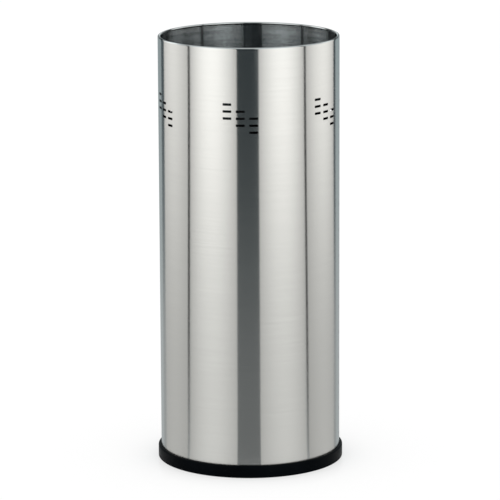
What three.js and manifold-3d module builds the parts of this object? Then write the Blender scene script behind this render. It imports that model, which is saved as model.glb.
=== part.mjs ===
// An umbrella stand: a tube of brushed stainless sheet with a curled rim and groups of punched slots,
// closed by a recessed steel bottom. A moulded ring holds its lower edge off the floor, and a drip tray
// that lifts out through the rim stands inside it.
// Millimetres, +Z up. The origin is on the floor, on the axis, and the front looks along -Y. Angles round
// the axis are in degrees from the front, growing towards +X.
import * as THREE from "three";
import Module from "manifold-3d";
import { mergeVertices } from "three/addons/utils/BufferGeometryUtils.js";

const wasm = await Module();
wasm.setup();

// ---------------------------------------------------------------- driving dimensions

const AROUND = 64; // facets round a turned piece
const BOSS_FACETS = 16;
const HOLE_FACETS = 12;
const SEAT_GAP = 0.3; // between pieces that touch, or that seat on each other
const MERGE_WITHIN = 1e-4; // vertices closer than this are one

// Shell: the rolled sheet, its curled rim and the lap of its seam
const STAND_HEIGHT = 500;
const SHELL_RADIUS = 105;
const SHELL_SHEET = 0.6;
const CURL_RADIUS = 1.6; // outside of the curl
const CURL_OPENING = 0.6; // left between the rolled-in edge and the sheet
const SEAM_ANGLE = 81.6; // on the right, between the last group of slots and the first
const SEAM_LAP = 9; // width of sheet that passes behind the other end
const SEAM_GROOVE = 0.4; // width of the line where the outer end stops
const SEAM_GROOVE_DEPTH = 0.25;

// Slots: groups of stepped columns below the rim
const GROUPS = 6;
const SEAM_SPACING = 50; // degrees between the middles of the two groups beside the seam
const COLUMNS = 3;
const ROWS = 3;
const COLUMN_PITCH = 15.2; // along the sheet
const ROW_PITCH = 8; // each column also starts one row lower than the one before it
const SLOT_LENGTH = 10;
const SLOT_HEIGHT = 2.7;
const SLOT_CORNER = 0.4;
const SLOT_DROP = 64.5; // from the rim to the first row

// Base ring: a moulded channel under the edges of the shell and the bottom, with a flange inside it
const RING_HEIGHT = 14.5;
const RING_WALL = 3.2;
const RING_WEB = 3; // plastic between the shell and the floor
const RING_TOP_ROUND = 1.8;
const RING_FOOT_ROUND = 1;
const RING_INNER_WALL = 2;
const FLANGE_MARGIN = 3.4; // flange past the screw bosses
const FLANGE_THICKNESS = 2.6;

// Bottom: a pressed dish, open downwards, with its skirt inside the shell
const BOTTOM_SHEET = 0.8;
const BOTTOM_RAISE = 12; // underside above the floor
const BOTTOM_BEND = 1.2; // inside of the bend between disc and skirt
const BEAD_RADIUS = 55; // a ring pressed down into the disc to stiffen it
const BEAD_WIDTH = 9;
const BEAD_DEPTH = 1.8;

// Screws that hold the base ring to the bottom
const SCREWS = 4;
const SCREW_START = 45;
const SCREW_RADIUS = 1.75;
const SCREW_HEAD_RADIUS = 3.3;
const SCREW_HEAD_HEIGHT = 2;
const SCREW_BITE = 3; // thread that shows above the bottom, before the point
const SCREW_POINT = 1.6;
const HEAD_SINK = 0.9; // head above the floor
const BOSS_WALL = 1.6;

// Drip tray: a tapered bowl on a foot rim, with ribs that hold the ferrules out of the water
const TRAY_HEIGHT = 60;
const TRAY_PLAY = 1.2; // between the tray's lip and the inside of the curled rim
const TRAY_WALL = 1.8;
const TRAY_FLOOR = 2;
const TRAY_LIP = 3.2;
const TRAY_LIP_DROP = 4;
const TRAY_SCREW_GAP = 4; // between the tray's foot and the points of the screws
const TRAY_CORNER = 3.2; // inside, between floor and wall
const FOOT_HEIGHT = 1.4;
const FOOT_WIDTH = 2.4;
const RIBS = 12;
const RIB_WIDTH = 1.8;
const RIB_HEIGHT = 3;
const HUB_RADIUS = 17;
const GRIP_LENGTH = 34; // finger holes under the lip
const GRIP_HEIGHT = 13;
const GRIP_CORNER = 6;
const GRIP_DROP = 2.5; // from the lip down to the hole

const PAST = 1; // how far a cutting tool runs past the surface it leaves

// ---------------------------------------------------------------- sizes that follow

const shellInside = SHELL_RADIUS - SHELL_SHEET;
const shellFoot = RING_WEB + SEAT_GAP;
const rimInside = SHELL_RADIUS - 2 * CURL_RADIUS;
const skirtOutside = shellInside - SEAT_GAP;
const skirtInside = skirtOutside - BOTTOM_SHEET;
const bottomTop = BOTTOM_RAISE + BOTTOM_SHEET;
const channelInside = skirtInside - SEAT_GAP;
const innerWallInside = channelInside - RING_INNER_WALL;
const bossRadius = SCREW_HEAD_RADIUS + SEAT_GAP + BOSS_WALL;
const screwCircle = innerWallInside + BOSS_WALL / 2 - bossRadius; // the bosses run into the inner wall
const trayFootRadius = screwCircle - SCREW_RADIUS - TRAY_SCREW_GAP;
const trayBase = bottomTop + SEAT_GAP;
const trayTop = trayBase + TRAY_HEIGHT;
const trayLipRadius = rimInside - TRAY_PLAY;
const trayCornerX = trayFootRadius - TRAY_CORNER - TRAY_WALL;
const trayFloorUnder = trayBase + FOOT_HEIGHT;
const trayFloorTop = trayFloorUnder + TRAY_FLOOR;

// ---------------------------------------------------------------- shaping

const radians = THREE.MathUtils.degToRad;
const degrees = THREE.MathUtils.radToDeg;
const at = (x, y) => new THREE.Vector2(x, y);

// Points on an arc, both ends included. Angles are in degrees, counter-clockwise.
function arc(x, y, radius, from, to, steps) {
  return Array.from({ length: steps + 1 }, (_, i) => {
    const a = radians(from + ((to - from) * i) / steps);
    return at(x + radius * Math.cos(a), y + radius * Math.sin(a));
  });
}

// A closed mesh as a manifold-3d solid.
function solid(geometry) {
  geometry.deleteAttribute("normal");
  geometry.deleteAttribute("uv");
  const merged = mergeVertices(geometry, MERGE_WITHIN);
  return new wasm.Manifold(
    new wasm.Mesh({
      numProp: 3,
      vertProperties: merged.attributes.position.array,
      triVerts: new Uint32Array(merged.index.array),
    }),
  );
}

function geometryOf(made) {
  const mesh = made.getMesh();
  const geometry = new THREE.BufferGeometry();
  geometry.setAttribute("position", new THREE.BufferAttribute(mesh.vertProperties, 3));
  geometry.setIndex(new THREE.BufferAttribute(mesh.triVerts, 1));
  return geometry;
}

// A closed profile of (radius, height) points, counter-clockwise, turned about the upright axis.
function turned(profile, facets = AROUND) {
  const closed = [...profile, profile[0]];
  return new THREE.LatheGeometry(closed, facets).rotateX(Math.PI / 2);
}

// A profile that starts and ends on the axis, turned about it.
function turnedOnAxis(profile, facets) {
  return new THREE.LatheGeometry(profile, facets).rotateX(Math.PI / 2);
}

// A bar of rounded section, its length along the sheet and its height upright, lying along the radius.
function radialBar(length, height, corner, inner, outer, angle, z) {
  const x = length / 2 - corner;
  const y = height / 2 - corner;
  const quarter = Math.PI / 2;
  const section = new THREE.Shape();
  section.absarc(x, -y, corner, -quarter, 0);
  section.absarc(x, y, corner, 0, quarter);
  section.absarc(-x, y, corner, quarter, 2 * quarter);
  section.absarc(-x, -y, corner, 2 * quarter, 3 * quarter);
  return new THREE.ExtrudeGeometry(section, { depth: outer - inner, bevelEnabled: false, curveSegments: 1 })
    .rotateX(quarter)
    .translate(0, -inner, z)
    .rotateZ(radians(angle));
}

const cutAll = (body, tools) => tools.reduce((made, tool) => made.subtract(solid(tool)), body);
const joinAll = (body, extras) => extras.reduce((made, extra) => made.add(solid(extra)), body);

// ---------------------------------------------------------------- shell

// The sheet from its lower edge up to the rim, round the outside of the curl and back down the inside.
function shellProfile() {
  const curlX = SHELL_RADIUS - CURL_RADIUS;
  const curlZ = STAND_HEIGHT - CURL_RADIUS;
  const edgeX = shellInside - CURL_OPENING;
  const turn = 360 - degrees(Math.acos((edgeX - curlX) / CURL_RADIUS));
  return [
    at(shellInside, shellFoot),
    at(SHELL_RADIUS, shellFoot),
    ...arc(curlX, curlZ, CURL_RADIUS, 0, 90, 3),
    ...arc(curlX, curlZ, CURL_RADIUS, 90, turn, 5).slice(1),
    ...arc(curlX, curlZ, CURL_RADIUS - SHELL_SHEET, turn, 0, 5),
  ];
}

// Each group is a parallelogram of slots: every column starts one row below the one before it.
function slotTools() {
  const tools = [];
  const groupStep = (360 - SEAM_SPACING) / (GROUPS - 1);
  const columnStep = degrees(COLUMN_PITCH / SHELL_RADIUS);
  for (let group = 0; group < GROUPS; group++) {
    const middle = SEAM_ANGLE + SEAM_SPACING / 2 + group * groupStep;
    for (let column = 0; column < COLUMNS; column++) {
      const angle = middle + (column - (COLUMNS - 1) / 2) * columnStep;
      for (let row = 0; row < ROWS; row++) {
        const z = STAND_HEIGHT - SLOT_DROP - (column + row) * ROW_PITCH;
        tools.push(
          radialBar(SLOT_LENGTH, SLOT_HEIGHT, SLOT_CORNER, shellInside - PAST, SHELL_RADIUS + PAST, angle, z),
        );
      }
    }
  }
  return tools;
}

// A strip that follows the tube beside the seam, from one angle (radians) to another.
function seamStrip(inner, outer, low, high, from, to) {
  const section = [at(inner, low), at(outer, low), at(outer, high), at(inner, high)];
  const strip = new THREE.LatheGeometry([...section, section[0]], 1, from, to - from);
  strip.rotateX(Math.PI / 2);
  return capped(strip, section.length + 1);
}

// A partly turned outline of a few points is open at both ends: flat fans close them.
function capped(geometry, count) {
  const index = [...geometry.index.array];
  for (let j = 1; j + 2 < count; j++) {
    index.push(0, j, j + 1, count, count + j + 1, count + j);
  }
  geometry.setIndex(index);
  return geometry;
}

// The end of the sheet that passes inside the other one, between the bottom and the curl.
function seamLap() {
  const half = SEAM_LAP / shellInside / 2;
  const middle = radians(SEAM_ANGLE);
  const low = bottomTop + BOTTOM_BEND;
  const high = STAND_HEIGHT - 2 * CURL_RADIUS - SEAT_GAP;
  const inner = shellInside - SHELL_SHEET;
  return seamStrip(inner, shellInside + SHELL_SHEET / 2, low, high, middle - half, middle + half);
}

// The line outside where the other end stops.
function seamGroove() {
  const half = SEAM_GROOVE / SHELL_RADIUS / 2;
  const middle = radians(SEAM_ANGLE);
  const low = shellFoot - PAST;
  const high = STAND_HEIGHT - 2 * CURL_RADIUS;
  const bottom = SHELL_RADIUS - SEAM_GROOVE_DEPTH;
  return seamStrip(bottom, SHELL_RADIUS + PAST, low, high, middle - half, middle + half);
}

function shell() {
  const tube = joinAll(solid(turned(shellProfile())), [seamLap()]);
  return geometryOf(cutAll(tube, [seamGroove(), ...slotTools()]));
}

// ---------------------------------------------------------------- base ring

function ringProfile() {
  const outside = SHELL_RADIUS + SEAT_GAP + RING_WALL;
  const channelOutside = SHELL_RADIUS + SEAT_GAP;
  const innerWallTop = BOTTOM_RAISE - BOTTOM_BEND;
  const flangeInside = screwCircle - bossRadius - FLANGE_MARGIN;
  return [
    at(flangeInside, 0),
    ...arc(outside - RING_FOOT_ROUND, RING_FOOT_ROUND, RING_FOOT_ROUND, -90, 0, 2),
    ...arc(outside - RING_TOP_ROUND, RING_HEIGHT - RING_TOP_ROUND, RING_TOP_ROUND, 0, 90, 4),
    at(channelOutside, RING_HEIGHT),
    at(channelOutside, RING_WEB),
    at(channelInside, RING_WEB),
    at(channelInside, innerWallTop),
    at(innerWallInside, innerWallTop),
    at(innerWallInside, FLANGE_THICKNESS),
    at(flangeInside, FLANGE_THICKNESS),
  ];
}

// An upright round bar, centred on the screw circle at an angle.
function postAt(angle, radius, low, high, facets) {
  return new THREE.CylinderGeometry(radius, radius, high - low, facets)
    .rotateX(Math.PI / 2)
    .translate(0, -screwCircle, (low + high) / 2)
    .rotateZ(radians(angle));
}

const screwAngles = Array.from({ length: SCREWS }, (_, i) => SCREW_START + (i * 360) / SCREWS);

function baseRing() {
  const recessTop = HEAD_SINK + SCREW_HEAD_HEIGHT + SEAT_GAP;
  const bosses = screwAngles.map((a) => {
    return postAt(a, bossRadius, FLANGE_THICKNESS / 2, BOTTOM_RAISE - SEAT_GAP, BOSS_FACETS);
  });
  const holes = screwAngles.flatMap((a) => [
    postAt(a, SCREW_RADIUS + SEAT_GAP, -PAST, BOTTOM_RAISE + PAST, HOLE_FACETS),
    postAt(a, SCREW_HEAD_RADIUS + SEAT_GAP, -PAST, recessTop, BOSS_FACETS),
  ]);
  return geometryOf(cutAll(joinAll(solid(turned(ringProfile())), bosses), holes));
}

// ---------------------------------------------------------------- bottom

// Half of the dish's section: under the disc from the axis outwards, down inside the skirt, up outside it
// and back over the top. The bead is the same trapezium on both faces.
function bottomProfile() {
  const bendX = skirtInside - BOTTOM_BEND;
  const bendZ = BOTTOM_RAISE - BOTTOM_BEND;
  const bead = (z) => [
    at(BEAD_RADIUS - BEAD_WIDTH / 2, z),
    at(BEAD_RADIUS - BEAD_WIDTH / 2 + BEAD_DEPTH, z - BEAD_DEPTH),
    at(BEAD_RADIUS + BEAD_WIDTH / 2 - BEAD_DEPTH, z - BEAD_DEPTH),
    at(BEAD_RADIUS + BEAD_WIDTH / 2, z),
  ];
  return [
    at(0, BOTTOM_RAISE),
    ...bead(BOTTOM_RAISE),
    ...arc(bendX, bendZ, BOTTOM_BEND, 90, 0, 2),
    at(skirtInside, shellFoot),
    at(skirtOutside, shellFoot),
    ...arc(bendX, bendZ, BOTTOM_BEND + BOTTOM_SHEET, 0, 90, 3),
    ...bead(bottomTop).reverse(),
    at(0, bottomTop),
  ];
}

function bottomPlate() {
  const holes = screwAngles.map((a) => {
    return postAt(a, SCREW_RADIUS + SEAT_GAP, BOTTOM_RAISE - PAST, bottomTop + PAST, HOLE_FACETS);
  });
  return geometryOf(cutAll(solid(turnedOnAxis(bottomProfile(), AROUND)), holes));
}

// ---------------------------------------------------------------- screw

// Pan head down, shank and point up, with the origin under the middle of the head.
function screw() {
  const top = bottomTop + SCREW_BITE - HEAD_SINK;
  const headRound = SCREW_HEAD_HEIGHT / 2;
  return turnedOnAxis(
    [
      at(0, 0),
      at(SCREW_HEAD_RADIUS - headRound, 0),
      at(SCREW_HEAD_RADIUS, headRound),
      at(SCREW_HEAD_RADIUS, SCREW_HEAD_HEIGHT),
      at(SCREW_RADIUS, SCREW_HEAD_HEIGHT),
      at(SCREW_RADIUS, top),
      at(0, top + SCREW_POINT),
    ],
    HOLE_FACETS,
  );
}

// ---------------------------------------------------------------- drip tray

// Half of the bowl's section: under the floor and round the foot rim, up the tapered wall, out and over the
// turned-down lip, and back down inside.
function trayProfile() {
  const wallTop = trayLipRadius - TRAY_LIP;
  const lipUnder = trayTop - TRAY_LIP_DROP;
  const lipEdge = TRAY_WALL / 2;
  const cornerOutside = TRAY_CORNER + TRAY_WALL;
  return [
    at(0, trayFloorUnder),
    at(trayCornerX - FOOT_WIDTH, trayFloorUnder),
    at(trayCornerX - FOOT_WIDTH, trayBase),
    at(trayCornerX, trayBase),
    ...arc(trayCornerX, trayBase + cornerOutside, cornerOutside, -60, 0, 2),
    at(wallTop, lipUnder),
    at(wallTop, trayTop - TRAY_WALL),
    at(trayLipRadius - lipEdge, trayTop - TRAY_WALL),
    at(trayLipRadius - lipEdge, lipUnder),
    at(trayLipRadius, lipUnder),
    ...arc(trayLipRadius - lipEdge, trayTop - lipEdge, lipEdge, 0, 90, 2),
    at(wallTop - TRAY_WALL, trayTop),
    at(wallTop - TRAY_WALL, lipUnder),
    ...arc(trayCornerX, trayFloorTop + TRAY_CORNER, TRAY_CORNER, 0, -90, 2),
    at(0, trayFloorTop),
  ];
}

function trayRibs() {
  const from = HUB_RADIUS - RIB_WIDTH / 2;
  const low = trayFloorTop - TRAY_FLOOR / 2;
  const high = trayFloorTop + RIB_HEIGHT;
  const ribs = Array.from({ length: RIBS }, (_, i) => {
    return new THREE.BoxGeometry(RIB_WIDTH, trayCornerX - from, high - low)
      .translate(0, -(from + trayCornerX) / 2, (low + high) / 2)
      .rotateZ(radians((i * 360) / RIBS));
  });
  const hubSection = [
    at(HUB_RADIUS - RIB_WIDTH, low),
    at(HUB_RADIUS, low),
    at(HUB_RADIUS, high),
    at(HUB_RADIUS - RIB_WIDTH, high),
  ];
  return [...ribs, turned(hubSection, 2 * RIBS)];
}

function dripTray() {
  const middle = trayTop - TRAY_LIP_DROP - GRIP_DROP - GRIP_HEIGHT / 2;
  const grips = [90, 270].map((angle) => {
    return radialBar(GRIP_LENGTH, GRIP_HEIGHT, GRIP_CORNER, trayCornerX, trayLipRadius, angle, middle);
  });
  return geometryOf(cutAll(joinAll(solid(turnedOnAxis(trayProfile(), AROUND)), trayRibs()), grips));
}

// ---------------------------------------------------------------- assembly

const stainless = new THREE.MeshStandardMaterial({ color: 0xcfcfcb, roughness: 0.3, metalness: 1 });
const zincPlated = new THREE.MeshStandardMaterial({ color: 0xb4b6b4, roughness: 0.4, metalness: 1 });
const blackMoulding = new THREE.MeshStandardMaterial({ color: 0x0d0f11, roughness: 0.45, metalness: 0 });
const trayMoulding = new THREE.MeshStandardMaterial({ color: 0x17191b, roughness: 0.6, metalness: 0 });

function piece(name, geometry, material) {
  const mesh = new THREE.Mesh(geometry, material);
  mesh.name = name;
  return mesh;
}

const stand = new THREE.Group();
stand.add(
  piece("shell", shell(), stainless),
  piece("bottom_plate", bottomPlate(), zincPlated),
  piece("base_ring", baseRing(), blackMoulding),
  piece("drip_tray", dripTray(), trayMoulding),
);
screwAngles.forEach((angle, i) => {
  const mesh = piece(`base_screw_${i + 1}`, screw(), zincPlated);
  const a = radians(angle);
  mesh.position.set(screwCircle * Math.sin(a), -screwCircle * Math.cos(a), HEAD_SINK);
  stand.add(mesh);
});

export default stand;
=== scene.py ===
"""The looks of the umbrella stand: its brushed stainless shell, black base ring, steel bottom, screws and
drip tray, and the studio round them.

Metres, +Z up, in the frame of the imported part. Angles round the axis are in degrees from the front (-Y),
growing towards +X.
"""

import math

import bmesh
import bpy
import numpy as np
from mathutils import Matrix, Vector

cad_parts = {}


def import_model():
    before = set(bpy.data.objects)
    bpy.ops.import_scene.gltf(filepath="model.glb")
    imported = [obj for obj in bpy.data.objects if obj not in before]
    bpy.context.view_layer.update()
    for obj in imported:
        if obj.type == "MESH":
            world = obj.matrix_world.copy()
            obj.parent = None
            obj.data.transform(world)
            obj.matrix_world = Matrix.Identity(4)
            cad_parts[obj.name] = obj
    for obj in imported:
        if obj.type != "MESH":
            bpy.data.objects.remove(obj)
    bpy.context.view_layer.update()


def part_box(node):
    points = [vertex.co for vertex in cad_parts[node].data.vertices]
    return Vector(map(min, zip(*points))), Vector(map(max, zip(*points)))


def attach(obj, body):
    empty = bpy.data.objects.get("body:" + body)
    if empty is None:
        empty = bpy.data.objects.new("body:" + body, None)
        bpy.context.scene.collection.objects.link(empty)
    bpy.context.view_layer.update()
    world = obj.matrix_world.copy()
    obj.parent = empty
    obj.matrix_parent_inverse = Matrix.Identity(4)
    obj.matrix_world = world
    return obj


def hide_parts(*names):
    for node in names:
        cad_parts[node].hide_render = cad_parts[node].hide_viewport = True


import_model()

MM = 0.001

# ---------------------------------------------------------------- sizes

shell_low, shell_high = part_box("shell")
_, ring_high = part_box("base_ring")
_, bottom_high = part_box("bottom_plate")
tray_low, tray_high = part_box("drip_tray")
screw_low, screw_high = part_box("base_screw_1")

SHELL_RADIUS = shell_high.x
SHELL_SHEET = 0.6 * MM
CURL_RADIUS = 1.6 * MM
CURL_OPENING = 0.6 * MM  # between the curl's edge and the wall
SEAM_ANGLE = 81.6
SEAM_LAP = 9 * MM
SEAM_GROOVE = 0.4 * MM
SEAM_GROOVE_DEPTH = 0.25 * MM
WELDS = 16  # spot welds beside the seam
WELD_RADIUS = 1.5 * MM
WELD_DEPTH = 0.1 * MM
WELD_ASIDE = 2.4 * MM  # from the groove
WELD_MARGIN = 14 * MM  # from the ring and the rim to the last welds

GROUPS = 6
SEAM_SPACING = 50  # degrees between the groups on either side of the seam
COLUMNS = 3
ROWS = 3
COLUMN_PITCH = 15.2 * MM
ROW_PITCH = 8 * MM
SLOT_LENGTH = 10 * MM
SLOT_HEIGHT = 2.7 * MM
SLOT_CORNER = 0.45 * MM
SLOT_EASE = 0.1 * MM  # the punch rounds a slot's edges over, so it looks so much larger all round
SLOT_DROP = 64.5 * MM  # from the rim to the middle of the highest slot

SEAT_GAP = 0.3 * MM  # between pieces that seat on each other
RING_WEB = 3 * MM
RING_TOP_ROUND = 1.8 * MM
RING_FOOT_ROUND = 1 * MM
RING_EDGE_ROUND = 0.3 * MM
RING_INNER_WALL = 2 * MM
FLANGE_MARGIN = 3.4 * MM  # from the bosses to the flange's edge
FLANGE_THICKNESS = 2.6 * MM

BOTTOM_SHEET = 0.8 * MM
BOTTOM_BEND = 1.2 * MM
BEAD_RADIUS = 55 * MM
BEAD_WIDTH = 9 * MM
BEAD_DEPTH = 1.8 * MM

SCREW_ANGLES = (45, 135, 225, 315)
SCREW_RADIUS = 1.75 * MM
SCREW_HEAD_RADIUS = 3.3 * MM
SCREW_HEAD_HEIGHT = 2 * MM
SCREW_CROWN = 0.75  # of the head's height is rounded
SCREW_POINT = 1.6 * MM
SCREW_TIP = 0.08  # of the shank's radius is left at the very end
THREAD_PITCH = 1.3 * MM
THREAD_DEPTH = 0.35 * MM
THREAD_SLOPE = 3  # a thread's flanks take up one part in so many of the pitch on each side
RECESS_REACH = 1.9 * MM  # of each wing, from the axis
RECESS_WIDTH = 0.42 * MM  # of half a wing
RECESS_DEPTH = 1.3 * MM
RECESS_TAPER = (0.35, 0.5)  # what is left of the reach and the width at the bottom
BOSS_WALL = 1.6 * MM

TRAY_WALL = 1.8 * MM
TRAY_FLOOR = 2 * MM
TRAY_LIP = 3.2 * MM
TRAY_LIP_DROP = 4 * MM
TRAY_SCREW_GAP = 4 * MM
TRAY_CORNER = 3.2 * MM
FOOT_TURN = -60  # degrees, where the foot's outside runs into the tray's corner
FOOT_HEIGHT = 1.4 * MM
FOOT_WIDTH = 2.4 * MM
RIBS = 12
RIB_WIDTH = 1.8 * MM
RIB_HEIGHT = 3 * MM
RIB_CROWN = 0.6  # the height of a rib's rounded top, as a share of half a circle's
HUB_RADIUS = 17 * MM
GRIP_LENGTH = 34 * MM
GRIP_HEIGHT = 13 * MM
GRIP_CORNER = 6 * MM
GRIP_DROP = 2.5 * MM  # from under the lip to the finger holes
GRIP_ANGLES = (90, 270)

SHELL_SIDES = 384  # facets round each turned or round piece
TRAY_SIDES = 288
BOTTOM_SIDES = 192
HUB_SIDES = 96
BOSS_SIDES = 40
HOLE_SIDES = 32
SCREW_SIDES = 32
SHANK_SIDES = 28
WELD_SIDES = 24
BEAD_STEPS = 12
THREAD_STEPS = 8  # for one turn of the thread, along the shank

MERGE_WITHIN = 1e-7
SHARP_EDGE = 35  # degrees between faces, above which an edge stays sharp
ON_THE_WALL = 0.999  # how squarely a face has to look out from the axis to lie on the straight wall

shell_inside = SHELL_RADIUS - SHELL_SHEET
shell_foot = shell_low.z
skirt_outside = bottom_high.x
skirt_inside = skirt_outside - BOTTOM_SHEET
bottom_top = bottom_high.z
bottom_under = bottom_top - BOTTOM_SHEET
channel_inside = skirt_inside - SEAT_GAP
inner_wall_inside = channel_inside - RING_INNER_WALL
boss_radius = SCREW_HEAD_RADIUS + SEAT_GAP + BOSS_WALL
screw_circle = inner_wall_inside + BOSS_WALL / 2 - boss_radius
head_sink = screw_low.z
tray_foot_radius = screw_circle - SCREW_RADIUS - TRAY_SCREW_GAP
tray_lip_radius = tray_high.x
tray_corner_x = tray_foot_radius - TRAY_CORNER - TRAY_WALL
tray_floor_top = tray_low.z + FOOT_HEIGHT + TRAY_FLOOR


# ---------------------------------------------------------------- camera

CAMERA_BACK = 3.878  # from the axis
CAMERA_HEIGHT = 1.0706
CAMERA_PITCH = 12.0041  # degrees downwards
CAMERA_ROLL = -0.258
CAMERA_YAW = -0.0078
LENS = 244.25
CAMERA_REACH = 100  # past the floor's far edge


def camera():
    made = bpy.data.objects.new("camera", bpy.data.cameras.new("camera"))
    made.data.lens = LENS
    made.data.clip_end = CAMERA_REACH
    yaw = Matrix.Rotation(math.radians(CAMERA_YAW), 4, "Z")
    pitch = Matrix.Rotation(math.radians(90 - CAMERA_PITCH), 4, "X")
    roll = Matrix.Rotation(math.radians(CAMERA_ROLL), 4, "Z")
    made.matrix_world = Matrix.Translation((0, -CAMERA_BACK, CAMERA_HEIGHT)) @ yaw @ pitch @ roll
    bpy.context.scene.collection.objects.link(made)
    bpy.context.scene.camera = made


# ---------------------------------------------------------------- mesh making


def arc(x, z, radius, start, end, steps):
    """Points on an arc, both ends included. Angles are in degrees, counter-clockwise."""
    turns = [math.radians(start + (end - start) * i / steps) for i in range(steps + 1)]
    return [(x + radius * math.cos(t), z + radius * math.sin(t)) for t in turns]


def circle(radius, steps):
    return arc(0, 0, radius, 0, 360 - 360 / steps, steps - 1)


def around(radius, degrees, z):
    """The point at an angle from the front."""
    t = math.radians(degrees)
    return (radius * math.sin(t), -radius * math.cos(t), z)


def new_object(name, vertices, faces):
    mesh = bpy.data.meshes.new(name)
    mesh.from_pydata(vertices, [], faces)
    made = bpy.data.objects.new(name, mesh)
    bpy.context.scene.collection.objects.link(made)
    return made


def turned(name, profile, sides):
    """A (radius, height) outline, counter-clockwise, turned about the axis from the seam's angle. One that
    starts and ends on the axis is closed there, and any other closes on itself."""
    on_axis = profile[0][0] == 0
    count = len(profile)
    vertices = [around(r, SEAM_ANGLE + 360 * i / sides, z) for i in range(sides) for r, z in profile]
    faces = []
    for i in range(sides):
        a, b = i * count, (i + 1) % sides * count
        for j in range(count - 1 if on_axis else count):
            k = (j + 1) % count
            faces.append((a + j, b + j, b + k, a + k))
    made = new_object(name, vertices, faces)
    merge_points(made)
    return made


def merge_points(obj):
    """Merges the points that meet, drops faces that vanish, and turns every face outwards."""
    work = bmesh.new()
    work.from_mesh(obj.data)
    bmesh.ops.remove_doubles(work, verts=work.verts, dist=MERGE_WITHIN)
    bmesh.ops.dissolve_degenerate(work, edges=work.edges, dist=MERGE_WITHIN)
    bmesh.ops.recalc_face_normals(work, faces=work.faces)
    work.to_mesh(obj.data)
    work.free()


def prism(name, outline, low, high, place):
    """A flat outline pushed from low to high along its own Z, then placed by a matrix."""
    count = len(outline)
    vertices = [place @ Vector((x, y, z)) for z in (low, high) for x, y in outline]
    faces = [tuple(range(count))[::-1], tuple(range(count, 2 * count))]
    faces += [(i, (i + 1) % count, count + (i + 1) % count, count + i) for i in range(count)]
    return new_object(name, vertices, faces)


def rounded(length, height, corner, steps):
    """The outline of a rectangle with round corners."""
    x, y = length / 2 - corner, height / 2 - corner
    corners = ((x, -y, -90), (x, y, 0), (-x, y, 90), (-x, -y, 180))
    return [p for cx, cy, turn in corners for p in arc(cx, cy, corner, turn, turn + 90, steps)]


def radial_place(degrees, z):
    """Puts an outline's X along the sheet and its Y upright, with its Z pointing out from the axis."""
    t = math.radians(degrees)
    out = Vector((math.sin(t), -math.cos(t), 0))
    along = Vector((math.cos(t), math.sin(t), 0))
    rows = Matrix((along, Vector((0, 0, 1)), out)).transposed()
    return Matrix.Translation((0, 0, z)) @ rows.to_4x4()


def joined(objects):
    """One object that holds the meshes of several, which are removed."""
    work = bmesh.new()
    for obj in objects:
        work.from_mesh(obj.data)
    work.to_mesh(objects[0].data)
    work.free()
    for obj in objects[1:]:
        bpy.data.objects.remove(obj)
    return objects[0]


def combine(obj, tools, operation):
    """Cuts or joins solids with the exact boolean and keeps the result as obj's own mesh."""
    tool = joined(tools)
    step = obj.modifiers.new("combine", "BOOLEAN")
    step.operation = operation
    step.solver = "EXACT"
    step.object = tool
    step.use_self = True
    seen = obj.evaluated_get(bpy.context.evaluated_depsgraph_get())
    mesh = bpy.data.meshes.new_from_object(seen)
    obj.modifiers.clear()
    obj.data = mesh
    bpy.data.objects.remove(tool)


def smooth(obj):
    """Smooth shading, with the sharp edges kept."""
    obj.data.shade_smooth()
    obj.data.set_sharp_from_angle(angle=math.radians(SHARP_EDGE))


def finish_piece(obj, material, slot, body, *nodes):
    """Gives a piece its material and the body it moves with, and hides the nodes it stands for. Its slot is
    not used.
    """
    obj.data.materials.clear()
    obj.data.materials.append(material)
    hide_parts(*nodes)
    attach(obj, body)


# ---------------------------------------------------------------- material making

HAIR_WAVES = (8, 8, 60000)  # to the metre: long round the tube, and fine up and down
STREAK_WAVES = (14, 14, 900)
DRIFT_WAVES = (6, 6, 14)
NOISE_SPAN = (0.3, 0.7)  # where most of a noise lies

SHEET_STEELS = ((0.592, 0.592, 0.587), (0.608, 0.608, 0.603))  # from streak to streak of the brushing
INSIDE_SHADE_STEEL = (0.40, 0.413, 0.417)  # painted shade of the tube's inside, on its inner face
DEEP_SHADE_STEEL = (0.17, 0.175, 0.18)  # and more painted shade further down, where less light gets in
DEEP_START = 0.07  # below the rim
DEEP_FADE = 0.015
CUT_SHADE_STEEL = (0.10, 0.105, 0.11)  # sheared, so dull; its darkness is painted shade of the slots
CUT_FACING = (0.3, 0.7)  # how squarely a face looks out from the axis, from a cut edge to the wall
SHEET_ROUGHNESSES = (0.163, 0.167)
INSIDE_ROUGHNESS = 0.08
RIM_ROUGHNESS = 0.11  # the rolled rim is polished
CUT_ROUGHNESS = 0.5
BRUSHED_DRAW = 1.0  # how far the brushing draws the highlights out
BRUSHED_TURN = 0.25  # of a full turn: they are drawn out across the hairlines, which run round the tube
HAIRLINE_TILT = 0.4  # how far the hairlines tip the surface up and down, for the whole range of the noise
INSIDE_TILT = 1.3  # the inner face's hairlines are deeper
RIM_TILT = 0.1

RING_BLACK = (0.0015, 0.0022, 0.003)
RING_ROUGHNESSES = (0.26, 0.35)
RING_GRAIN = 0.006 * MM
RING_SHINE = 0.015
TRAY_BLACK = (0.022, 0.023, 0.025)
TRAY_ROUGHNESSES = (0.38, 0.47)
TRAY_GRAIN = 0.01 * MM
TRAY_SHINE = 0.4
GRAIN_SCALE = 2600  # grains to the metre
GRAIN_STRENGTH = 0.6
PATCH_SCALE = 22
PATCH_SPAN = (0.35, 0.7)
PATCH_LIFT = 1.6  # how many times as light the lighter patches of a moulding are

ZINC_GREYS = ((0.50, 0.51, 0.52), (0.62, 0.63, 0.63))
ZINC_ROUGHNESSES = (0.34, 0.48)
CLOUD_SCALE = 60
SPECK_SCALE = 1400
SPECK_HEIGHT = 0.01 * MM
SPECK_STRENGTH = 0.4


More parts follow.
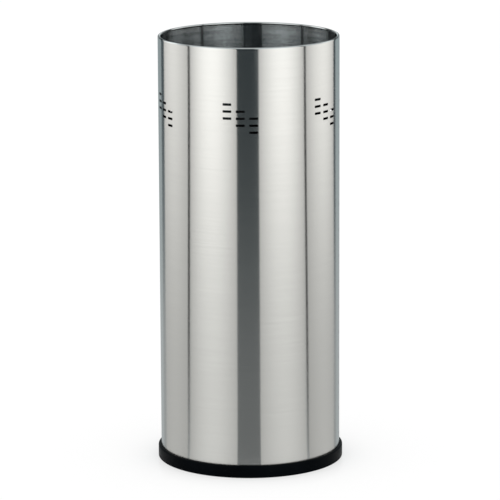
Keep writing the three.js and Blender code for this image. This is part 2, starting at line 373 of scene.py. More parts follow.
class Nodes:
    """A node tree with short ways to add and link nodes."""

    def __init__(self, tree):
        self.tree = tree
        tree.nodes.clear()

    def add(self, kind, settings=None, **inputs):
        node = self.tree.nodes.new(kind)
        for name, value in (settings or {}).items():
            setattr(node, name, value)
        for name, value in inputs.items():
            self.put(node.inputs[name.replace("_", " ")], value)
        return node

    def put(self, socket, value):
        if isinstance(value, bpy.types.NodeSocket):
            self.tree.links.new(value, socket)
        else:
            socket.default_value = value

    def math(self, operation, a, b=0.0):
        node = self.add("ShaderNodeMath", {"operation": operation})
        self.put(node.inputs[0], a)
        self.put(node.inputs[1], b)
        return node.outputs[0]

    def spread(self, value, low, high, to_low, to_high):
        """Maps a value from one range to another."""
        node = self.add("ShaderNodeMapRange", Value=value)
        for name, number in (("From Min", low), ("From Max", high), ("To Min", to_low), ("To Max", to_high)):
            node.inputs[name].default_value = number
        return node.outputs["Result"]

    def vector(self, operation, a, b=(0, 0, 0)):
        """A node that works on vectors. What it gives is its Vector, or its Value where that is a number."""
        node = self.add("ShaderNodeVectorMath", {"operation": operation})
        self.put(node.inputs[0], a)
        self.put(node.inputs[1], b)
        return node

    def noise(self, vector, scale=1.0, detail=2.0, roughness=0.5):
        node = self.add("ShaderNodeTexNoise", Vector=vector, Scale=scale, Detail=detail, Roughness=roughness)
        return node.outputs["Fac"]

    def stretched(self, x, y, z):
        """The piece's own coordinates, in metres, scaled along each axis."""
        place = self.add("ShaderNodeTexCoord").outputs["Object"]
        node = self.add("ShaderNodeMapping", Vector=place)
        node.inputs["Scale"].default_value = (x, y, z)
        return node.outputs["Vector"]

    def mix(self, factor, a, b):
        node = self.add("ShaderNodeMix", {"data_type": "RGBA"})
        self.put(node.inputs["Factor"], factor)
        self.put(node.inputs["A"], (*a, 1) if isinstance(a, tuple) else a)
        self.put(node.inputs["B"], (*b, 1) if isinstance(b, tuple) else b)
        return node.outputs["Result"]

    def blend(self, factor, a, b):
        """The same for plain numbers."""
        node = self.add("ShaderNodeMix", {"data_type": "FLOAT"})
        for name, value in (("Factor", factor), ("A", a), ("B", b)):
            self.put(node.inputs[name], value)
        return node.outputs["Result"]

    def bump(self, height, distance, strength):
        node = self.add("ShaderNodeBump", Height=height, Distance=distance, Strength=strength)
        return node.outputs["Normal"]

    def shared(self, factor, first, second):
        """The first surface, and the second by so much of it."""
        node = self.add("ShaderNodeMixShader")
        for socket, value in zip(node.inputs, (factor, first, second)):
            self.put(socket, value)
        return node.outputs["Shader"]


def new_material(name):
    made = bpy.data.materials.new(name)
    made.use_nodes = True
    nodes = Nodes(made.node_tree)
    shader = nodes.add("ShaderNodeBsdfPrincipled")
    out = nodes.add("ShaderNodeOutputMaterial")
    nodes.put(out.inputs["Surface"], shader.outputs["BSDF"])
    return made, nodes, shader


def brushed_stainless():
    """Sheet brushed round the tube: hairlines that run with the sheet tilt the surface up and down."""
    made, nodes, shader = new_material("brushed_stainless")
    shader.inputs["Metallic"].default_value = 1.0
    shader.inputs["Anisotropic"].default_value = BRUSHED_DRAW
    shader.inputs["Anisotropic Rotation"].default_value = BRUSHED_TURN
    tangent = nodes.add("ShaderNodeTangent", {"direction_type": "RADIAL", "axis": "Z"})
    nodes.put(shader.inputs["Tangent"], tangent.outputs["Tangent"])
    inside, deep, rim, cut = shell_parts(nodes)
    nodes.put(shader.inputs["Base Color"], sheet_colour(nodes, inside, deep, cut))
    nodes.put(shader.inputs["Roughness"], sheet_roughness(nodes, inside, rim, cut))
    nodes.put(shader.inputs["Normal"], sheet_normal(nodes, inside, rim))
    return made


def shell_parts(nodes):
    """One on the tube's inner face and nought elsewhere, the same for the lower part of the tube, its rolled
    rim and its cut edges."""
    place = nodes.add("ShaderNodeTexCoord").outputs["Object"]
    flat = nodes.vector("MULTIPLY", place, (1, 1, 0)).outputs["Vector"]
    radius = nodes.vector("LENGTH", flat).outputs["Value"]
    height = nodes.add("ShaderNodeSeparateXYZ", Vector=place).outputs["Z"]
    rim_foot = shell_high.z - 2 * CURL_RADIUS
    deep_top = shell_high.z - DEEP_START
    within = nodes.spread(radius, shell_inside, SHELL_RADIUS, 1, 0)
    below = nodes.spread(height, rim_foot - SEAT_GAP, rim_foot, 1, 0)
    deep = nodes.spread(height, deep_top - DEEP_FADE, deep_top, 1, 0)
    rim = nodes.spread(height, rim_foot, rim_foot + CURL_RADIUS, 0, 1)
    flat_normal = nodes.add("ShaderNodeNewGeometry").outputs["True Normal"]
    facing = nodes.vector("DOT_PRODUCT", flat_normal, flat).outputs["Value"]
    outward = nodes.math("ABSOLUTE", nodes.math("DIVIDE", facing, radius))
    across = nodes.spread(outward, *CUT_FACING, 1, 0)
    return nodes.math("MULTIPLY", within, below), deep, rim, nodes.math("MULTIPLY", across, below)


# The inner face, darker still further down, and the cut edges take darker steel colours than the outside:
# painted shade.
def sheet_colour(nodes, inside, deep, cut):
    streaks = nodes.noise(nodes.stretched(*STREAK_WAVES))
    outer = nodes.mix(nodes.spread(streaks, *NOISE_SPAN, 0, 1), *SHEET_STEELS)
    inner = nodes.mix(deep, INSIDE_SHADE_STEEL, DEEP_SHADE_STEEL)
    return nodes.mix(cut, nodes.mix(inside, outer, inner), CUT_SHADE_STEEL)


def sheet_roughness(nodes, inside, rim, cut):
    drift = nodes.noise(nodes.stretched(*DRIFT_WAVES))
    outer = nodes.spread(drift, *NOISE_SPAN, *SHEET_ROUGHNESSES)
    wall = nodes.blend(inside, outer, INSIDE_ROUGHNESS)
    return nodes.blend(cut, nodes.blend(rim, wall, RIM_ROUGHNESS), CUT_ROUGHNESS)


def sheet_normal(nodes, inside, rim):
    """The surface's own direction, tipped up and down by the hairlines."""
    hair = nodes.noise(nodes.stretched(*HAIR_WAVES), detail=0)
    depth = nodes.blend(rim, nodes.spread(inside, 0, 1, HAIRLINE_TILT, INSIDE_TILT), RIM_TILT)
    tilt = nodes.math("MULTIPLY", nodes.math("SUBTRACT", hair, 0.5), depth)
    lift = nodes.add("ShaderNodeCombineXYZ", Z=tilt).outputs["Vector"]
    normal = nodes.add("ShaderNodeNewGeometry").outputs["Normal"]
    tipped = nodes.vector("ADD", normal, lift).outputs["Vector"]
    return nodes.vector("NORMALIZE", tipped).outputs["Vector"]


def black_plastic(name, colour, roughnesses, grain, shine):
    """Moulded plastic with a fine spark-eroded grain and broad, slightly lighter patches."""
    made, nodes, shader = new_material(name)
    place = nodes.stretched(1, 1, 1)
    fine = nodes.noise(place, scale=GRAIN_SCALE, detail=3, roughness=0.6)
    broad = nodes.noise(place, scale=PATCH_SCALE)
    lighter = tuple(part * PATCH_LIFT for part in colour)
    patches = nodes.spread(broad, *PATCH_SPAN, 0, 1)
    nodes.put(shader.inputs["Base Color"], nodes.mix(patches, colour, lighter))
    nodes.put(shader.inputs["Roughness"], nodes.spread(broad, *NOISE_SPAN, *roughnesses))
    shader.inputs["Specular IOR Level"].default_value = shine
    nodes.put(shader.inputs["Normal"], nodes.bump(fine, grain, GRAIN_STRENGTH))
    return made


def zinc_plate():
    """Dull zinc-plated steel with faint cloudy patches."""
    made, nodes, shader = new_material("zinc_plate")
    place = nodes.stretched(1, 1, 1)
    cloud = nodes.noise(place, scale=CLOUD_SCALE, detail=5, roughness=0.6)
    speck = nodes.noise(place, scale=SPECK_SCALE)
    shader.inputs["Metallic"].default_value = 1.0
    nodes.put(shader.inputs["Base Color"], nodes.mix(cloud, *ZINC_GREYS))
    nodes.put(shader.inputs["Roughness"], nodes.spread(cloud, *NOISE_SPAN, *ZINC_ROUGHNESSES))
    nodes.put(shader.inputs["Normal"], nodes.bump(speck, SPECK_HEIGHT, SPECK_STRENGTH))
    return made


# ---------------------------------------------------------------- shell


def shell_profile():
    """The sheet's section: up the outside, round the curl, back round its inside and down."""
    curl_x, curl_z = SHELL_RADIUS - CURL_RADIUS, shell_high.z - CURL_RADIUS
    edge_x = shell_inside - CURL_OPENING
    turn = 360 - math.degrees(math.acos((edge_x - curl_x) / CURL_RADIUS))
    outer = arc(curl_x, curl_z, CURL_RADIUS, 0, turn, 24)
    inner = arc(curl_x, curl_z, CURL_RADIUS - SHELL_SHEET, turn, 0, 16)
    return [(shell_inside, shell_foot), (SHELL_RADIUS, shell_foot), *outer, *inner]


def slot_tools():
    tools = []
    outline = rounded(SLOT_LENGTH + 2 * SLOT_EASE, SLOT_HEIGHT + 2 * SLOT_EASE, SLOT_CORNER + SLOT_EASE, 4)
    group_step = (360 - SEAM_SPACING) / (GROUPS - 1)
    column_step = math.degrees(COLUMN_PITCH / SHELL_RADIUS)
    for group in range(GROUPS):
        middle = SEAM_ANGLE + SEAM_SPACING / 2 + group * group_step
        for column in range(COLUMNS):
            for row in range(ROWS):
                degrees = middle + (column - (COLUMNS - 1) / 2) * column_step
                z = shell_high.z - SLOT_DROP - (column + row) * ROW_PITCH
                place = radial_place(degrees, z)
                tools.append(prism("slot", outline, shell_inside - MM, SHELL_RADIUS + MM, place))
    return tools


def strip(name, inner, outer, low, high, width, steps=8):
    """A closed strip beside the seam that follows the tube."""
    half = math.degrees(width / outer) / 2
    section = [(inner, low), (outer, low), (outer, high), (inner, high)]
    turns = [SEAM_ANGLE - half + 2 * half * i / steps for i in range(steps + 1)]
    vertices = [around(r, t, z) for t in turns for r, z in section]
    faces = [(0, 1, 2, 3), tuple(4 * steps + j for j in (3, 2, 1, 0))]
    for i in range(steps):
        for j in range(4):
            k = (j + 1) % 4
            faces.append((4 * i + j, 4 * i + 4 + j, 4 * i + 4 + k, 4 * i + k))
    made = new_object(name, vertices, faces)
    merge_points(made)
    return made


def weld_tools():
    """Round marks pressed in beside the seam where the lap is spot welded."""
    low, high = ring_high.z + WELD_MARGIN, shell_high.z - WELD_MARGIN
    degrees = SEAM_ANGLE + math.degrees(WELD_ASIDE / SHELL_RADIUS)
    inner, outer = SHELL_RADIUS - WELD_DEPTH, SHELL_RADIUS + MM
    outline = circle(WELD_RADIUS, WELD_SIDES)
    heights = [low + (high - low) * i / (WELDS - 1) for i in range(WELDS)]
    return [prism("weld", outline, inner, outer, radial_place(degrees, z)) for z in heights]


def corner_places(mesh):
    """The place of every face corner."""
    owner = np.empty(len(mesh.loops), np.int32)
    mesh.loops.foreach_get("vertex_index", owner)
    places = np.empty(len(mesh.vertices) * 3, np.float32)
    mesh.vertices.foreach_get("co", places)
    return places.reshape(-1, 3)[owner].astype(float)


def corner_faces(mesh, name):
    """A property of three numbers of the face that each corner is on."""
    values = np.empty(len(mesh.polygons) * 3, np.float32)
    mesh.polygons.foreach_get(name, values)
    totals = np.empty(len(mesh.polygons), np.int32)
    mesh.polygons.foreach_get("loop_total", totals)
    return np.repeat(values.reshape(-1, 3), totals, axis=0).astype(float)


def outwards(places):
    """The directions straight out from the axis."""
    return places * (1, 1, 0) / np.hypot(places[:, 0], places[:, 1])[:, None]


def set_round_normals(mesh):
    """Gives every corner on the straight wall the tube's own normal, whatever way its faces are split."""
    places = corner_places(mesh)
    corner = np.empty(len(mesh.loops) * 3, np.float32)
    mesh.corner_normals.foreach_get("vector", corner)
    corner = corner.reshape(-1, 3).astype(float)
    outward = outwards(places)
    facing = (outward * corner_faces(mesh, "normal")).sum(axis=1)
    below_curl = places[:, 2] <= shell_high.z - CURL_RADIUS + MM / 100
    straight = (np.abs(facing) > ON_THE_WALL) & below_curl
    corner[straight] = (outward * np.sign(facing)[:, None])[straight]
    mesh.normals_split_custom_set(corner.tolist())


def lay_out(mesh):
    """Maps the sheet flat, round from the seam, up the outside and down the inside."""
    places = corner_places(mesh)
    centres = corner_faces(mesh, "center")
    middle = (np.degrees(np.arctan2(centres[:, 0], -centres[:, 1])) - SEAM_ANGLE) % 360
    turn = np.degrees(np.arctan2(places[:, 0], -places[:, 1])) - SEAM_ANGLE
    turn = middle + (turn - middle + 180) % 360 - 180
    facing = (outwards(centres) * corner_faces(mesh, "normal")).sum(axis=1)
    share = (places[:, 2] - shell_foot) / (shell_high.z - shell_foot) / 2
    flat = np.stack([turn / 360, np.where(facing >= 0, share, 1 - share)], axis=1)
    layer = mesh.uv_layers.new(name="OFBake")
    layer.data.foreach_set("uv", np.clip(flat, 0, 1).ravel())


def shell():
    made = turned("shell_sheet", shell_profile(), SHELL_SIDES)
    seam_top = shell_high.z - 2 * CURL_RADIUS
    lap_low = bottom_top + BOTTOM_BEND
    lap_inner = shell_inside - SHELL_SHEET
    lap_outer = shell_inside + SHELL_SHEET / 2
    lap = strip("lap", lap_inner, lap_outer, lap_low, seam_top - SEAT_GAP, SEAM_LAP)
    combine(made, [lap], "UNION")
    groove_low = shell_foot - MM
    bottom = SHELL_RADIUS - SEAM_GROOVE_DEPTH
    groove = strip("groove", bottom, SHELL_RADIUS + MM, groove_low, seam_top, SEAM_GROOVE)
    combine(made, [groove, *slot_tools(), *weld_tools()], "DIFFERENCE")
    smooth(made)
    set_round_normals(made.data)
    lay_out(made.data)
    finish_piece(made, brushed_stainless(), "shell_steel", "stand", "shell")


# ---------------------------------------------------------------- base ring


def ring_profile():
    outside = ring_high.x
    channel_outside = SHELL_RADIUS + SEAT_GAP
    inner_wall_top = bottom_under - BOTTOM_BEND
    flange_inside = screw_circle - boss_radius - FLANGE_MARGIN
    lip = RING_EDGE_ROUND
    return [
        *arc(flange_inside + lip, lip, lip, 180, 270, 3),
        *arc(outside - RING_FOOT_ROUND, RING_FOOT_ROUND, RING_FOOT_ROUND, -90, 0, 6),
        *arc(outside - RING_TOP_ROUND, ring_high.z - RING_TOP_ROUND, RING_TOP_ROUND, 0, 90, 10),
        *arc(channel_outside + lip, ring_high.z - lip, lip, 90, 180, 3),
        (channel_outside, RING_WEB),
        (channel_inside, RING_WEB),
        (channel_inside, inner_wall_top),
        (inner_wall_inside, inner_wall_top),
        (inner_wall_inside, FLANGE_THICKNESS),
        *arc(flange_inside + lip, FLANGE_THICKNESS - lip, lip, 90, 180, 3),
    ]


def posts(name, radius, low, high, sides):
    """An upright post where each screw goes."""
    outline = circle(radius, sides)
    places = [Matrix.Translation(around(screw_circle, degrees, 0)) for degrees in SCREW_ANGLES]
    return [prism(name, outline, low, high, place) for place in places]


def base_ring():
    made = turned("foot_ring", ring_profile(), SHELL_SIDES)
    recess_top = head_sink + SCREW_HEAD_HEIGHT + SEAT_GAP
    boss_top = bottom_under - SEAT_GAP
    combine(made, posts("boss", boss_radius, FLANGE_THICKNESS / 2, boss_top, BOSS_SIDES), "UNION")
    combine(made, posts("hole", SCREW_RADIUS + SEAT_GAP, -MM, boss_top + MM, HOLE_SIDES), "DIFFERENCE")
    combine(made, posts("recess", SCREW_HEAD_RADIUS + SEAT_GAP, -MM, recess_top, BOSS_SIDES), "DIFFERENCE")
    smooth(made)
    plastic = black_plastic("ring_moulding", RING_BLACK, RING_ROUGHNESSES, RING_GRAIN, RING_SHINE)
    finish_piece(made, plastic, "ring_plastic", "stand", "base_ring")


# ---------------------------------------------------------------- bottom


def bottom_profile():
    bend_x, bend_z = skirt_inside - BOTTOM_BEND, bottom_under - BOTTOM_BEND

    def bead(z):
        shares = [i / BEAD_STEPS for i in range(BEAD_STEPS + 1)]
        drops = [BEAD_DEPTH * math.sin(math.pi * share) ** 2 for share in shares]
        return [(BEAD_RADIUS + BEAD_WIDTH * (share - 0.5), z - drop) for share, drop in zip(shares, drops)]

    return [
        (0, bottom_under),
        *bead(bottom_under),
        *arc(bend_x, bend_z, BOTTOM_BEND, 90, 0, 5),
        (skirt_inside, shell_foot),
        (skirt_outside, shell_foot),
        *arc(bend_x, bend_z, BOTTOM_BEND + BOTTOM_SHEET, 0, 90, 8),
        *bead(bottom_top)[::-1],
        (0, bottom_top),
    ]


def bottom_plate():
    made = turned("bottom_dish", bottom_profile(), BOTTOM_SIDES)
    low, high = bottom_under - MM, bottom_top + MM
    combine(made, posts("hole", SCREW_RADIUS + SEAT_GAP, low, high, HOLE_SIDES), "DIFFERENCE")
    smooth(made)
    finish_piece(made, zinc_plate(), "bottom_steel", "stand", "bottom_plate")


# ---------------------------------------------------------------- screws


def screw_profile():
    """The pan head and the plain neck under it, from the axis below to the axis above."""
    head_top = head_sink + SCREW_HEAD_HEIGHT
    crown = SCREW_HEAD_HEIGHT * SCREW_CROWN
    edge = arc(SCREW_HEAD_RADIUS - crown, head_sink + crown, crown, -90, 0, 8)
    root = SCREW_RADIUS - THREAD_DEPTH
    return [(0, head_sink), *edge, (SCREW_HEAD_RADIUS, head_top), (root, head_top), (0, head_top)]


def thread(name, low, high):
    """A shank whose radius rises and falls along a helix, and shrinks to a point at its end."""
    sides = SHANK_SIDES
    rows = round((high - low) / (THREAD_PITCH / THREAD_STEPS))
    vertices = []
    for row in range(rows + 1):
        z = low + (high - low) * row / rows
        point = min(1, (high - z) / SCREW_POINT)
        for i in range(sides):
            phase = ((z - low) / THREAD_PITCH - i / sides) % 1
            crest = max(0, 1 - abs(phase - 0.5) * THREAD_SLOPE)
            radius = (SCREW_RADIUS - THREAD_DEPTH * (1 - crest)) * max(point, SCREW_TIP)
            turn = 2 * math.pi * i / sides
            vertices.append((radius * math.cos(turn), radius * math.sin(turn), z))
    faces = [tuple(range(sides))[::-1], tuple(rows * sides + i for i in range(sides))]
    for row in range(rows):
        for i in range(sides):
            a, b = row * sides + i, row * sides + (i + 1) % sides
            faces.append((a, b, b + sides, a + sides))
    return new_object(name, vertices, faces)


def cross_recess():
    """The four-winged recess in the head, as two crossed wedges."""
    reach, width = RECESS_REACH, RECESS_WIDTH
    low = [(-reach, -width), (reach, -width), (reach, width), (-reach, width)]
    top = [(x * RECESS_TAPER[0], y * RECESS_TAPER[1]) for x, y in low]
    faces = [(3, 2, 1, 0), (4, 5, 6, 7), (0, 1, 5, 4), (1, 2, 6, 5), (2, 3, 7, 6), (3, 0, 4, 7)]
    vertices = [(x, y, head_sink - MM / 4) for x, y in low]
    vertices += [(x, y, head_sink + RECESS_DEPTH) for x, y in top]
    crossing = [(y, -x, z) for x, y, z in vertices]
    return [new_object("wing", vertices, faces), new_object("wing", crossing, faces)]


def base_screws(material):
    for index, degrees in enumerate(SCREW_ANGLES):
        made = turned(f"screw_{index + 1}", screw_profile(), SCREW_SIDES)
        shank = thread("shank", head_sink + SCREW_HEAD_HEIGHT / 2, screw_high.z)
        combine(made, [shank], "UNION")
        combine(made, cross_recess(), "DIFFERENCE")
        made.data.transform(Matrix.Translation(around(screw_circle, degrees, 0)))
        smooth(made)
        finish_piece(made, material, "screw_steel", "stand", f"base_screw_{index + 1}")


# ---------------------------------------------------------------- drip tray


def tray_profile():
    wall_top = tray_lip_radius - TRAY_LIP
    lip_under = tray_high.z - TRAY_LIP_DROP
    edge = TRAY_WALL / 2
    outside = TRAY_CORNER + TRAY_WALL
    floor_under = tray_low.z + FOOT_HEIGHT
    return [
        (0, floor_under),
        (tray_corner_x - FOOT_WIDTH, floor_under),
        *arc(tray_corner_x - FOOT_WIDTH + edge / 2, tray_low.z + edge / 2, edge / 2, 180, 270, 4),
        (tray_corner_x, tray_low.z),
        *arc(tray_corner_x, tray_low.z + outside, outside, FOOT_TURN, 0, 8),
        (wall_top, lip_under),
        *arc(wall_top + edge, tray_high.z - TRAY_WALL - edge, edge, 180, 90, 5),
        (tray_lip_radius - edge, tray_high.z - TRAY_WALL),
        (tray_lip_radius - edge, lip_under + edge / 2),
        *arc(tray_lip_radius - edge / 2, lip_under + edge / 2, edge / 2, 180, 360, 8),
        *arc(tray_lip_radius - edge, tray_high.z - edge, edge, 0, 90, 6),
        *arc(wall_top - edge, tray_high.z - edge, edge, 90, 180, 6),
        (wall_top - TRAY_WALL, lip_under),
        *arc(tray_corner_x, tray_floor_top + TRAY_CORNER, TRAY_CORNER, 0, -90, 8),
        (0, tray_floor_top),
    ]


def rib_crown(middle):
    """The rounded top of a rib, with its middle at a place along the outline."""
    half = RIB_WIDTH / 2
    foot = tray_floor_top + RIB_HEIGHT - half * RIB_CROWN
    return [(x, foot + rise * RIB_CROWN) for x, rise in arc(middle, 0, half, 0, 180, 8)]


def rib(degrees):
    """A rib that runs out from the hub."""
    low, half = tray_floor_top - TRAY_FLOOR / 2, RIB_WIDTH / 2
    outline = [(half, low), *rib_crown(0), (-half, low)]
    return prism("rib", outline, HUB_RADIUS - half, tray_corner_x, radial_place(degrees, 0))


def tray_hub():
    """A round rib that the others run out from."""
    low, half = tray_floor_top - TRAY_FLOOR / 2, RIB_WIDTH / 2
    outline = [(HUB_RADIUS - RIB_WIDTH, low), (HUB_RADIUS, low), *rib_crown(HUB_RADIUS - half)]
    return turned("hub", outline, HUB_SIDES)


def grip(degrees):
    """The finger hole on one side, through the tray's wall."""
    middle = tray_high.z - TRAY_LIP_DROP - GRIP_DROP - GRIP_HEIGHT / 2
    outline = rounded(GRIP_LENGTH, GRIP_HEIGHT, GRIP_CORNER, 8)
    return prism("grip", outline, tray_corner_x, tray_lip_radius, radial_place(degrees, middle))


def drip_tray():
    made = turned("water_tray", tray_profile(), TRAY_SIDES)
    combine(made, [tray_hub()], "UNION")
    combine(made, [rib(360 * i / RIBS) for i in range(RIBS)], "UNION")
    combine(made, [grip(degrees) for degrees in GRIP_ANGLES], "DIFFERENCE")
    smooth(made)
    plastic = black_plastic("tray_moulding", TRAY_BLACK, TRAY_ROUGHNESSES, TRAY_GRAIN, TRAY_SHINE)
    finish_piece(made, plastic, "tray_plastic", "tray", "drip_tray")


# ---------------------------------------------------------------- studio

# Every light the metal mirrors is laid out in the tube's own reflection: a card's edges are the angles on
# the tube, from the front, at which they show.
WALL_DISTANCE = 0.7  # from the axis
WALL_TOP = 1.6
WALL_BREAK = 0.56  # above it only the rim and the inside of the tube see the wall
FADE_HEIGHT = 0.36  # over which the wall fades down to the floor's level
FOOT_SHIFT = 2.0  # degrees by which lines halfway round lie further round at the foot of the wall
FLOOR_START = 0.03  # from the shell
FLOOR_SHIFT = 3.2  # and where they meet the shell
FAR_FLOOR = 7.0  # at the foot of the wall the floor is at most so many times as light as the wall
LEAN_TOP = 1.0  # up to here, lines above the break lean outward
LEAN_STEPS = 6
HIGH_LEAN = 0.48  # by this share of their angle, times the square of the metres above the rim
HIGH_FADE = 0.1  # over which the wall above that fades to the ceiling's level
CEILING_REACH = 1.05  # of the wall's distance
CEILING_SIDES = 64
CEILING_LIGHT = 0.7
BACK_LIGHT = 0.5  # the level behind the object, where the cards at both ends of the list meet
BACK_HIGH_LIGHT = 0.8
CARD_STEPS = 16  # across each card
TEAL = (0.81, 1.05, 1.14)
WARM = (1.02, 1.01, 0.97)
GREY = (0.97, 1.02, 1.01)
COOL = (0.95, 1.02, 1.03)
PALE = (1.01, 1.012, 0.975)
SLATE = (0.86, 1.01, 1.04)

# Each card: from and to on the tube, the level of the wall at the card's edges and in its middle, the same
# for the floor, and the tints of the wall and the floor.
CARDS = (
    (-90.0, -73.4, 0.43, 0.39, 0.55, 0.50, SLATE, COOL),
    (-73.4, -68.0, 0.10, 0.10, 0.44, 0.44, TEAL, GREY),
    (-68.0, -41.6, 0.82, 1.16, 0.60, 0.68, WARM, PALE),
    (-41.6, -39.9, 0.00, 0.00, 0.50, 0.50, GREY, GREY),
    (-39.9, -7.6, 0.84, 1.68, 0.66, 0.92, WARM, PALE),
    (-7.6, 6.1, 0.045, 0.045, 0.225, 0.225, TEAL, GREY),
    (6.1, 36.8, 0.84, 1.62, 0.66, 0.88, WARM, PALE),
    (36.8, 38.4, 0.00, 0.00, 0.44, 0.44, GREY, GREY),
    (38.4, 67.8, 0.78, 1.34, 0.58, 0.70, WARM, PALE),
    (67.8, 71.5, 0.07, 0.07, 0.40, 0.40, TEAL, GREY),
    (71.5, 90.0, 0.48, 0.43, 0.50, 0.50, SLATE, COOL),
)

# The same for the wall above the break, with one level at the edges, one in the middle and one tint.
HIGH_CARDS = (
    (-90.0, -80.0, 0.20, 0.20, COOL),
    (-80.0, -70.0, 0.00, 0.00, COOL),
    (-70.0, -51.0, 1.05, 1.70, COOL),
    (-51.0, -43.3, 0.50, 0.66, COOL),
    (-43.3, -41.0, 0.00, 0.00, COOL),
    (-41.0, -9.9, 0.70, 1.48, COOL),
    (-9.9, 3.8, 0.08, 0.08, TEAL),
    (3.8, 34.7, 0.68, 1.42, COOL),
    (34.7, 36.9, 0.00, 0.00, COOL),
    (36.9, 53.5, 0.70, 0.84, COOL),
    (53.5, 70.0, 0.84, 1.16, COOL),
    (70.0, 80.0, 0.00, 0.00, COOL),
    (80.0, 90.0, 0.20, 0.20, COOL),
)


def mirrored(degrees, reach):
    """The point on the ground a ray from the front gets to, once the shell turns it away."""
    t = math.radians(degrees)
    x, y = SHELL_RADIUS * math.sin(t), -SHELL_RADIUS * math.cos(t)
    return (x + reach * math.sin(2 * t), y - reach * math.cos(2 * t))


def wall_reach(degrees):
    """How far that ray runs to the studio wall."""
    c = SHELL_RADIUS * math.cos(math.radians(degrees))
    return math.sqrt(c * c + WALL_DISTANCE**2 - SHELL_RADIUS**2) - c


def on_wall(degrees):
    return mirrored(degrees, wall_reach(degrees))


def tinted(level, tint):
    return [level * part for part in tint]


def humped(edge, middle, share):
    """A level that rises from one edge of a card to its middle and falls to the other edge."""
    return edge + (middle - edge) * math.sin(math.pi * share)


def low_column(degrees, wall, floor):
    """Points from the shell's foot out along the floor and up the wall to the break, each with its light."""
    bow = math.sin(math.radians(2 * degrees))
    near = mirrored(degrees + FLOOR_SHIFT * bow, FLOOR_START)
    foot = on_wall(degrees + FOOT_SHIFT * bow)
    middle = on_wall(degrees + FOOT_SHIFT / 2 * bow)
    top = on_wall(degrees)
    half = [math.sqrt(w * f) for w, f in zip(wall, floor)]
    far = [min(FAR_FLOOR * w, f) for w, f in zip(wall, floor)]
    return [
        ((*near, MM), floor),
        ((*foot, MM), far),
        ((*middle, FADE_HEIGHT / 2), half),
        ((*top, FADE_HEIGHT), wall),
        ((*top, WALL_BREAK), wall),
    ]


def high_column(degrees, light):
    """Points up the wall from the break to its top, each with its light. Lines lean outward as they rise, so
    that the inside of the tube, which sees their heights through its hairlines' tilt, shows them upright."""
    heights = [WALL_BREAK + (LEAN_TOP - WALL_BREAK) * i / LEAN_STEPS for i in range(LEAN_STEPS + 1)]
    spreads = [1 + HIGH_LEAN * (z - shell_high.z) ** 2 for z in heights]
    places = [(*on_wall(degrees * spread), z) for spread, z in zip(spreads, heights)]
    x, y, _ = places[-1]
    even = tinted(CEILING_LIGHT, COOL)
    upper = [((x, y, z), even) for z in (LEAN_TOP + HIGH_FADE, WALL_TOP)]
    return [(place, light) for place in places] + upper


def back_column(x):
    """One edge of the sheet that closes the studio behind the object, each point with its light."""
    y = on_wall(90)[1]
    floor = tinted(BACK_LIGHT, GREY)
    wall = tinted(BACK_LIGHT, TEAL)
    high = tinted(BACK_HIGH_LIGHT, COOL)
    return [
        ((x, SHELL_RADIUS + FLOOR_START, MM), floor),
        ((x, y, MM), floor),
        ((x, y, FADE_HEIGHT), wall),
        ((x, y, WALL_BREAK - MM), wall),
        ((x, y, WALL_BREAK), high),
        ((x, y, WALL_TOP), high),
    ]


def low_card(start, end, wall_edge, wall_middle, floor_edge, floor_middle, wall_tint, floor_tint):
    """The columns of a card on the floor and the lower wall."""
    columns = []
    for step in range(CARD_STEPS + 1):
        share = step / CARD_STEPS
        wall = tinted(humped(wall_edge, wall_middle, share), wall_tint)
        floor = tinted(humped(floor_edge, floor_middle, share), floor_tint)
        columns.append(low_column(start + (end - start) * share, wall, floor))
    return columns


def high_card(start, end, edge, middle, tint):
    """The columns of a card on the wall above the break."""
    columns = []
    for step in range(CARD_STEPS + 1):
        share = step / CARD_STEPS
        light = tinted(humped(edge, middle, share), tint)
        columns.append(high_column(start + (end - start) * share, light))
    return columns


def add_columns(columns, vertices, faces, levels):
    """Adds the points and lights of a card's columns, and the faces between them."""
    first, count = len(vertices), len(columns[0])
    for column in columns:
        vertices.extend(place for place, light in column)
        levels.extend((*light, 1) for place, light in column)
    for i in range(len(columns) - 1):
        for j in range(count - 1):
            a = first + i * count + j
            faces.append((a, a + 1, a + 1 + count, a + count))


def add_ceiling(vertices, faces, levels):
    """Adds a round lid on the wall, facing down."""
    first = len(vertices)
    for i in range(CEILING_SIDES):
        vertices.append(around(WALL_DISTANCE * CEILING_REACH, -360 * i / CEILING_SIDES, WALL_TOP))
        levels.append((*tinted(CEILING_LIGHT, COOL), 1))
    faces.append(tuple(range(first, first + CEILING_SIDES)))


def studio_cards():
    """The cards round the object, which only reflections see, and only from the side of the object."""
    vertices, faces, levels = [], [], []
    for card in CARDS:
        add_columns(low_card(*card), vertices, faces, levels)
    for card in HIGH_CARDS:
        add_columns(high_card(*card), vertices, faces, levels)
    add_columns([back_column(SHELL_RADIUS), back_column(-SHELL_RADIUS)], vertices, faces, levels)
    add_ceiling(vertices, faces, levels)
    made = new_object("cards", vertices, faces)
    glow = made.data.color_attributes.new("glow", "FLOAT_COLOR", "POINT")
    glow.data.foreach_set("color", [part for level in levels for part in level])
    made.visible_camera = False
    made.visible_diffuse = False
    made.visible_shadow = False
    made.visible_volume_scatter = False
    made.data.materials.append(card_light())


def card_light():
    made = bpy.data.materials.new("card_light")
    made.use_nodes = True
    nodes = Nodes(made.node_tree)
    level = nodes.add("ShaderNodeAttribute", {"attribute_name": "glow"}).outputs["Color"]
    one_sided(nodes, nodes.add("ShaderNodeEmission", Color=level).outputs["Emission"])
    return made


def one_sided(nodes, surface):
    """Ends a material that shows on the front of its faces and is clear on their back."""
    behind = nodes.add("ShaderNodeNewGeometry").outputs["Backfacing"]
    clear = nodes.add("ShaderNodeBsdfTransparent").outputs["BSDF"]
    nodes.add("ShaderNodeOutputMaterial", Surface=nodes.shared(behind, surface, clear))


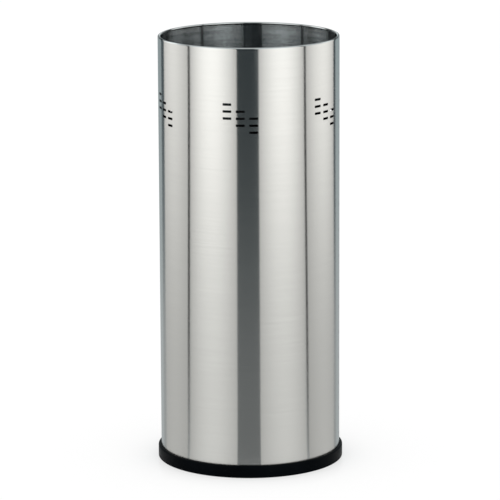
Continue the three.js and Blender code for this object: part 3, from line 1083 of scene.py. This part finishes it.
FLOOR_RADIUS = 40
FLOOR_SIDES = 96
FLOOR_COLOUR = (0.82, 0.82, 0.82)
FLOOR_SHADED = (0.24, 0.24, 0.24)  # the part of the white floor that takes the object's shadow
FLOOR_GLOW = 0.785
FLOOR_GLOSS = 0.17  # beside the base ring
GLOSS_FADE = 0.02  # over which the gloss falls away
GLOSS_ROUGHNESS = 0.12


def floor_material():
    """White that mostly glows by itself where it is looked at, with a gloss that dies away from the ring."""
    made = bpy.data.materials.new("floor")
    made.use_nodes = True
    nodes = Nodes(made.node_tree)
    seen = nodes.add("ShaderNodeLightPath").outputs["Is Camera Ray"]
    white = nodes.add("ShaderNodeAddShader")
    matt = nodes.add("ShaderNodeBsdfDiffuse", Color=nodes.mix(seen, FLOOR_COLOUR, FLOOR_SHADED))
    glow = nodes.add("ShaderNodeEmission", Strength=nodes.math("MULTIPLY", seen, FLOOR_GLOW))
    nodes.put(white.inputs[0], matt.outputs["BSDF"])
    nodes.put(white.inputs[1], glow.outputs["Emission"])
    place = nodes.add("ShaderNodeTexCoord").outputs["Object"]
    away = nodes.math("SUBTRACT", nodes.vector("LENGTH", place).outputs["Value"], ring_high.x)
    fade = nodes.math("EXPONENT", nodes.math("DIVIDE", away, -GLOSS_FADE))
    amount = nodes.math("MULTIPLY", nodes.math("MINIMUM", fade, 1.0), FLOOR_GLOSS)
    gloss = nodes.add("ShaderNodeBsdfAnisotropic", Roughness=GLOSS_ROUGHNESS).outputs["BSDF"]
    shown = nodes.math("MULTIPLY", amount, seen)
    one_sided(nodes, nodes.shared(shown, white.outputs["Shader"], gloss))
    return made


def studio_floor():
    """A white floor that keeps the object's shadow and mirrors it faintly close to its foot. It is open
    under the base ring and clear from below, so that the underside can be seen."""
    radii = (ring_high.x - RING_FOOT_ROUND, FLOOR_RADIUS)
    vertices = [around(r, -360 * i / FLOOR_SIDES, 0) for i in range(FLOOR_SIDES) for r in radii]
    faces = []
    for i in range(FLOOR_SIDES):
        a, b = 2 * i, 2 * ((i + 1) % FLOOR_SIDES)
        faces.append((a, b, b + 1, a + 1))
    made = new_object("floor", vertices, faces)
    made.data.materials.append(floor_material())


def world():
    """Even white light from all round, which gives a colour its plain level."""
    made = bpy.data.worlds.new("studio")
    made.use_nodes = True
    light = made.node_tree.nodes["Background"]
    light.inputs["Color"].default_value = (1, 1, 1, 1)
    light.inputs["Strength"].default_value = 1.0
    bpy.context.scene.world = made


# ---------------------------------------------------------------- all together

bpy.context.scene.view_settings.view_transform = "Standard"
camera()
world()
studio_floor()
studio_cards()
shell()
base_ring()
bottom_plate()
drip_tray()
base_screws(zinc_plate())
